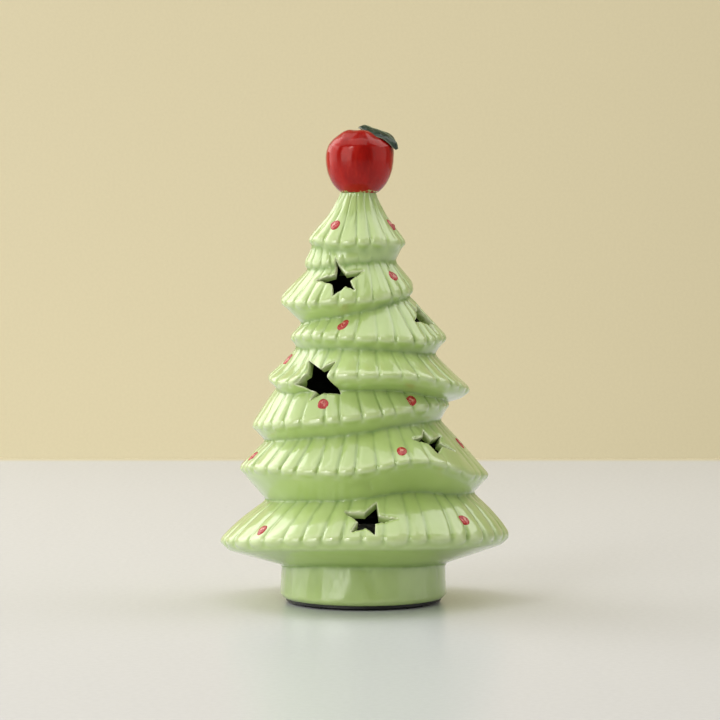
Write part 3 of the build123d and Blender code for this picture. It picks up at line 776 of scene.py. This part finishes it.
def build_dots():
    """All the dots as one piece, each laid on the glaze point by point."""
    tree = BVHTree.FromObject(shell, bpy.context.evaluated_depsgraph_get())
    points, faces, blush = [], [], []
    quads = np.array(loop_faces(len(DOT_RINGS), DOT_SPOKES, False))
    for start, way in dot_rays():
        hit, normal, _, _ = tree.ray_cast(start, way)
        if hit is None:
            continue
        side = Vector((0, 0, 1)).cross(normal).normalized()
        up = normal.cross(side)
        across, along = brush_mark()
        first = len(points)
        for ring, rise in zip(DOT_RINGS, DOT_RISES):
            for u, v in zip(ring * across, ring * along):
                base = hit + (side * u + up * v) * MM
                found, _, _, away = tree.ray_cast(base + normal * DOT_PROBE, -normal)
                if found is None or abs(away - DOT_PROBE) > DOT_STRAY:
                    found = base
                points.append(np.array(found + normal * rise * MM) / MM)
                blush.append(ring)
        faces += (first + quads).tolist()
        faces.append(list(range(len(points) - 1, len(points) - 1 - DOT_SPOKES, -1)))
    dots = new_object("painted_dots", points, faces)
    put_value(dots.data, "blush", blush)
    return dots


dots = build_dots()
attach(dots, "tree")


def srgb(red, green, blue):
    """A written colour as the linear values a shader takes."""
    parts = np.array([red, green, blue]) / 255
    linear = np.where(parts <= 0.04045, parts / 12.92, ((parts + 0.055) / 1.055) ** 2.4)
    return (*linear.tolist(), 1.0)


class Shader:
    """A small help to write a procedural material."""

    def __init__(self, name):
        self.material = bpy.data.materials.new(name)
        self.material.use_nodes = True
        self.tree = self.material.node_tree
        self.surface = self.tree.nodes["Principled BSDF"]
        self.place = self.tree.nodes.new("ShaderNodeTexCoord").outputs["Object"]

    def node(self, kind, **settings):
        made = self.tree.nodes.new(kind)
        for key, value in settings.items():
            setattr(made, key, value)
        return made

    def feed(self, socket, value):
        if isinstance(value, bpy.types.NodeSocket):
            self.tree.links.new(value, socket)
        else:
            socket.default_value = value

    def noise(self, scale, detail=3.0, rough=0.5, stretch=None):
        made = self.node("ShaderNodeTexNoise")
        place = self.place
        if stretch:
            mapping = self.node("ShaderNodeMapping")
            mapping.inputs["Scale"].default_value = stretch
            self.feed(mapping.inputs["Vector"], place)
            place = mapping.outputs["Vector"]
        self.feed(made.inputs["Vector"], place)
        made.inputs["Scale"].default_value = scale
        made.inputs["Detail"].default_value = detail
        made.inputs["Roughness"].default_value = rough
        return made.outputs["Fac"]

    def cells(self, scale):
        made = self.node("ShaderNodeTexVoronoi")
        self.feed(made.inputs["Vector"], self.place)
        made.inputs["Scale"].default_value = scale
        return made.outputs["Distance"]

    def value(self, name):
        return self.node("ShaderNodeAttribute", attribute_name=name).outputs["Fac"]

    def span(self, value, low, high, first=0.0, last=1.0):
        made = self.node("ShaderNodeMapRange", interpolation_type="SMOOTHSTEP")
        self.feed(made.inputs["Value"], value)
        for key, number in zip(("From Min", "From Max", "To Min", "To Max"), (low, high, first, last)):
            made.inputs[key].default_value = number
        return made.outputs["Result"]

    def math(self, operation, first, second):
        made = self.node("ShaderNodeMath", operation=operation)
        self.feed(made.inputs[0], first)
        self.feed(made.inputs[1], second)
        return made.outputs[0]

    def mix(self, share, first, second):
        made = self.node("ShaderNodeMix", data_type="RGBA")
        self.feed(made.inputs[0], share)
        self.feed(made.inputs[6], first)
        self.feed(made.inputs[7], second)
        return made.outputs[2]

    def bump(self, height, strength, distance):
        made = self.node("ShaderNodeBump")
        self.feed(made.inputs["Height"], height)
        made.inputs["Strength"].default_value = strength
        made.inputs["Distance"].default_value = distance
        self.feed(self.surface.inputs["Normal"], made.outputs["Normal"])

    def set(self, **sockets):
        for key, value in sockets.items():
            self.feed(self.surface.inputs[key.replace("_", " ")], value)

    def give(self, *things):
        for thing in things:
            thing.data.materials.clear()
            thing.data.materials.append(self.material)


def celadon():
    """Pale green glaze: deeper where it pools, paler where it thins and on star edges, a deeper green
    painted on the undersides as shade, and a dark, dull inside painted as shade.
    """
    glaze = Shader("celadon_glaze")
    drift = glaze.noise(38, 3.0)
    base = glaze.mix(glaze.span(drift, 0.35, 0.65), srgb(170, 195, 112), srgb(180, 204, 125))
    # Painted shade: the undersides turn a deeper yellow-green
    base = glaze.mix(glaze.span(glaze.value("under"), 0.2, 0.95, 0.0, 0.6), base, srgb(172, 201, 104))
    uneven = glaze.span(glaze.noise(240, 2.0), 0.3, 0.7, 0.75, 1.1)
    pooled = glaze.math("MULTIPLY", glaze.value("pool"), uneven)
    base = glaze.mix(pooled, base, srgb(122, 154, 78))
    paled = glaze.math("MULTIPLY", glaze.span(glaze.value("thin"), 0.2, 1.1, 0.0, 0.45), uneven)
    base = glaze.mix(paled, base, srgb(210, 222, 170))
    base = glaze.mix(glaze.span(glaze.value("edge"), 0.3, 0.95, 0.0, 0.7), base, srgb(224, 230, 192))
    specks = glaze.span(glaze.cells(420), 0.045, 0.075, 0.5, 0.0)
    rare = glaze.span(glaze.noise(90, 1.0), 0.58, 0.66)
    base = glaze.mix(glaze.math("MULTIPLY", specks, rare), base, srgb(104, 124, 70))
    # Painted shade: the inside of the hollow is painted a dark olive, while the star walls keep the
    # glaze's green
    skin = glaze.value("skin")
    base = glaze.mix(glaze.span(skin, 0.02, 0.2), srgb(46, 52, 26), base)
    shine = glaze.span(glaze.value("pool"), 0.35, 0.9, 0.9, 0.1)
    glaze.set(Base_Color=base, IOR=1.65, Coat_Weight=shine, Coat_IOR=1.55, Coat_Roughness=0.06)
    rough = glaze.span(glaze.noise(160, 3.0), 0.3, 0.75, 0.28, 0.34)
    bare = glaze.span(skin, 0.02, 0.2, 0.7, 0.0)
    dull = glaze.span(glaze.value("pool"), 0.4, 0.9, 0.0, 0.4)
    glaze.set(Roughness=glaze.math("ADD", rough, glaze.math("MAXIMUM", bare, dull)))
    glaze.give(shell)


def apple_red():
    """Streaky red glaze, with a ragged line of green and dark red where the apple meets the neck."""
    red = Shader("apple_glaze")
    drift = red.noise(70, 4.0, 0.55, (1.0, 1.0, 0.45))
    base = red.mix(red.span(drift, 0.32, 0.7), srgb(120, 6, 6), srgb(174, 22, 14))
    streak = red.noise(420, 3.0, 0.6, (1.0, 1.0, 0.16))
    base = red.mix(red.span(streak, 0.5, 0.78, 0.0, 0.35), base, srgb(190, 48, 34))
    low = red.value("up")
    ragged = red.math("ADD", low, red.span(red.noise(330, 2.0), 0.25, 0.75, -1.3, 1.3))
    base = red.mix(red.span(ragged, 0.2, 0.7), srgb(176, 190, 116), base)
    base = red.mix(red.span(ragged, -0.5, 0.0), srgb(96, 14, 10), base)
    red.set(Base_Color=base, IOR=1.42, Specular_Tint=srgb(255, 170, 160))
    red.set(Coat_Weight=0.2, Coat_IOR=1.5, Coat_Roughness=0.05)
    red.set(Roughness=red.span(red.noise(120, 2.0), 0.3, 0.7, 0.14, 0.24))
    red.bump(red.noise(380, 2.0), 0.10, 0.0003)
    red.give(apple)


def leaf_green():
    """Dark green glaze, with a painted highlight along the midrib, painted glints along the edges, and a
    pale stalk end that is partly its cut end and partly painted highlight.
    """
    green = Shader("leaf_glaze")
    drift = green.noise(190, 4.0)
    base = green.mix(green.span(drift, 0.32, 0.68), srgb(14, 38, 28), srgb(36, 60, 42))
    # Painted highlight: a pale line along the midrib
    base = green.mix(green.span(green.value("rib"), 0.2, 1.0, 0.0, 0.8), base, srgb(128, 144, 116))
    # Painted highlight: glints along the edges, and a pale stalk end that is partly its cut end and partly
    # painted highlight
    base = green.mix(green.span(green.value("rim"), 0.7, 1.0, 0.0, 0.5), base, srgb(166, 168, 144))
    green.set(Base_Color=base, IOR=1.4, Coat_Weight=0.15, Coat_Roughness=0.05)
    green.set(Roughness=green.span(drift, 0.3, 0.7, 0.2, 0.36))
    green.bump(green.noise(500, 2.0), 0.12, 0.0003)
    green.give(leaf)


def enamel():
    """Red brush paint, paler in the middle of a dot: partly thin paint, partly a painted highlight on the
    raised dab.
    """
    paint = Shader("dot_enamel")
    streak = paint.noise(900, 3.0, 0.6, (1.0, 1.0, 0.35))
    base = paint.mix(paint.span(streak, 0.35, 0.7), srgb(166, 32, 36), srgb(196, 70, 66))
    # The middle of a dot is paler: partly thin paint, partly a painted highlight
    middle = paint.span(paint.value("blush"), 0.75, 0.1)
    paled = paint.math("MULTIPLY", middle, paint.span(streak, 0.46, 0.62))
    base = paint.mix(paled, base, srgb(226, 168, 148))
    paint.set(Base_Color=base, IOR=1.45, Coat_Weight=0.15, Coat_Roughness=0.06)
    paint.set(Roughness=paint.span(streak, 0.3, 0.7, 0.16, 0.34))
    paint.bump(streak, 0.15, 0.0002)
    paint.give(dots)


celadon()
apple_red()
leaf_green()
enamel()


def moulded(name, dark, light, rough, grain, *parts):
    """Moulded plastic or rubber: a fine grain with a little drift in colour and gloss."""
    made = Shader(name)
    drift = made.noise(grain * 0.06, 3.0)
    fine = made.noise(grain, 2.0)
    made.set(Base_Color=made.mix(made.span(drift, 0.3, 0.7), dark, light), IOR=1.48)
    made.set(Roughness=made.span(made.math("ADD", drift, fine), 0.7, 1.3, rough - 0.08, rough + 0.08))
    made.bump(fine, 0.25, 0.0001)
    made.give(*[nodes[part] for part in parts])
    return made


def metal(name, dark, light, rough, stretch, *parts):
    """Plated metal, with fine lines from rolling."""
    made = Shader(name)
    lines = made.noise(2600, 3.0, 0.6, stretch)
    stain = made.noise(260, 4.0)
    made.set(Base_Color=made.mix(made.span(stain, 0.35, 0.7), light, dark), Metallic=1.0)
    made.set(Roughness=made.span(lines, 0.3, 0.7, rough - 0.08, rough + 0.1))
    made.bump(lines, 0.2, 0.00005)
    made.give(*[nodes[part] for part in parts])


moulded("black_abs", srgb(30, 30, 31), srgb(40, 40, 42), 0.48, 3600, "unit_housing", "battery_door")
moulded("grip_silicone", srgb(92, 94, 96), srgb(104, 106, 108), 0.6, 2400, "grip_pads")
moulded("foam_rubber", srgb(34, 34, 35), srgb(52, 52, 54), 0.85, 1500, "foot_pads")
moulded("white_abs", srgb(226, 225, 220), srgb(236, 235, 231), 0.45, 3600, "unit_lid")
moulded("switch_knob", srgb(34, 34, 36), srgb(48, 48, 50), 0.5, 4200, "switch_slider")
moulded("board_mask", srgb(24, 84, 48), srgb(32, 100, 58), 0.3, 1700, "circuit_board")
moulded("lamp_phosphor", srgb(232, 214, 128), srgb(244, 232, 172), 0.35, 2600, "led_chips")
moulded("resistor_body", srgb(26, 26, 30), srgb(38, 38, 42), 0.4, 4200, "board_resistor")
frosted = moulded("frosted_plastic", srgb(232, 231, 224), srgb(242, 241, 236), 0.5, 3000, "diffuser_cap")
frosted.set(Transmission_Weight=0.25)
metal("zinc_screw", srgb(168, 168, 160), srgb(206, 206, 198), 0.32, (1, 1, 0.2), "door_screw")
CONTACTS = ("spring_contact", "plate_contact", "bridge_contact")
metal("nickel", srgb(176, 170, 158), srgb(216, 211, 202), 0.26, (1, 0.1, 1), *CONTACTS)
metal("tin_can", srgb(170, 170, 170), srgb(208, 208, 206), 0.3, (0.1, 1, 1), "switch_body")
metal("tinned_leads", srgb(180, 176, 168), srgb(214, 210, 204), 0.3, (1, 1, 0.1), "switch_leads")
metal("cell_sleeve", srgb(70, 84, 104), srgb(92, 108, 130), 0.34, (0.1, 1, 1), "battery_cells")


def stage_piece(name, points):
    """One flat sheet of the stage, from its four corners in metres, with a fine even grain."""
    sheet = new_object(name, np.array(points) / MM, [[0, 1, 2, 3]], smooth=False)
    paint = Shader(name + "_paint")
    grain = paint.span(paint.noise(400, 2.0), 0.3, 0.7)
    paint.set(Roughness=paint.span(grain, 0.0, 1.0, 0.255, 0.265), IOR=1.3)
    paint.give(sheet)
    return paint, grain


def build_stage():
    """A pale table that blends into a plain wall, which stands far enough back to look at the rear."""
    side, front, back, blend = 1.5, -1.5, 0.72, 0.03
    wall_side, wall_place, wall_low, wall_high = 2.4, 1.6, -0.8, 2.8
    wall_colours = (srgb(220, 209, 173), srgb(222, 211, 175))
    corners = [(-side, front, 0), (side, front, 0), (side, back, 0), (-side, back, 0)]
    paint, grain = stage_piece("stage_table", corners)
    parts = paint.node("ShaderNodeSeparateXYZ")
    paint.feed(parts.inputs[0], paint.place)
    table = paint.mix(grain, srgb(213, 215, 220), srgb(215, 217, 222))
    far_edge = paint.span(parts.outputs["Y"], back - blend, back)
    paint.set(Base_Color=paint.mix(far_edge, table, wall_colours[0]))
    left, right = -wall_side, wall_side
    corners = [(left, wall_place, wall_low), (right, wall_place, wall_low)]
    corners += [(right, wall_place, wall_high), (left, wall_place, wall_high)]
    paint, grain = stage_piece("stage_wall", corners)
    paint.set(Base_Color=paint.mix(grain, *wall_colours))


build_stage()

DAYLIGHT = (1.0, 0.99, 0.97)
CENTRE = (0, 0, 0.1)
# Soft light from all round: name, place, aim, width and height in metres, and power in watts
LAMPS = (
    ("skylight_left", (-0.96, 0.30, 1.30), CENTRE, 1.4, 1.3, 6.4),
    ("skylight_back", (-0.72, 0.62, 0.72), CENTRE, 0.5, 0.9, 2.8),
    ("skylight_right", (0.96, 0.31, 1.30), CENTRE, 1.1, 1.1, 6.8),
    ("ceiling", (0.0, -0.30, 1.75), CENTRE, 1.3, 1.3, 8.0),
    ("window_left", (-1.06, -1.20, 0.70), (0, 0, 0.70), 1.1, 1.4, 14),
    ("window_side", (-1.56, 0.30, 0.65), (0, 0, 0.65), 1.3, 1.3, 9.5),
    ("window_right", (1.55, -0.45, 0.65), (0, 0, 0.65), 1.5, 1.3, 5.0),
    ("softbox", (-0.75, -1.15, 1.15), CENTRE, 0.2, 0.25, 2.0),
    ("wall_wash", (-0.45, 0.82, -0.75), (-0.15, 1.6, 0.35), 1.8, 0.4, 10),
)


def lamp(name, place, aim, width, height, power):
    """A rectangular light that the camera itself doesn't see."""
    data = bpy.data.lights.new(name, "AREA")
    data.shape = "RECTANGLE"
    data.size, data.size_y = width, height
    data.energy = power
    data.color = DAYLIGHT
    thing = bpy.data.objects.new(name, data)
    bpy.context.scene.collection.objects.link(thing)
    thing.location = place
    thing.rotation_euler = (Vector(aim) - Vector(place)).to_track_quat("-Z", "Y").to_euler()
    thing.visible_camera = False


for row in LAMPS:
    lamp(*row)

world = bpy.data.worlds.new("room")
bpy.context.scene.world = world
world.use_nodes = True
world.node_tree.nodes["Background"].inputs["Color"].default_value = srgb(214, 208, 192)
world.node_tree.nodes["Background"].inputs["Strength"].default_value = 0.25

bpy.context.scene.view_settings.view_transform = "Standard"
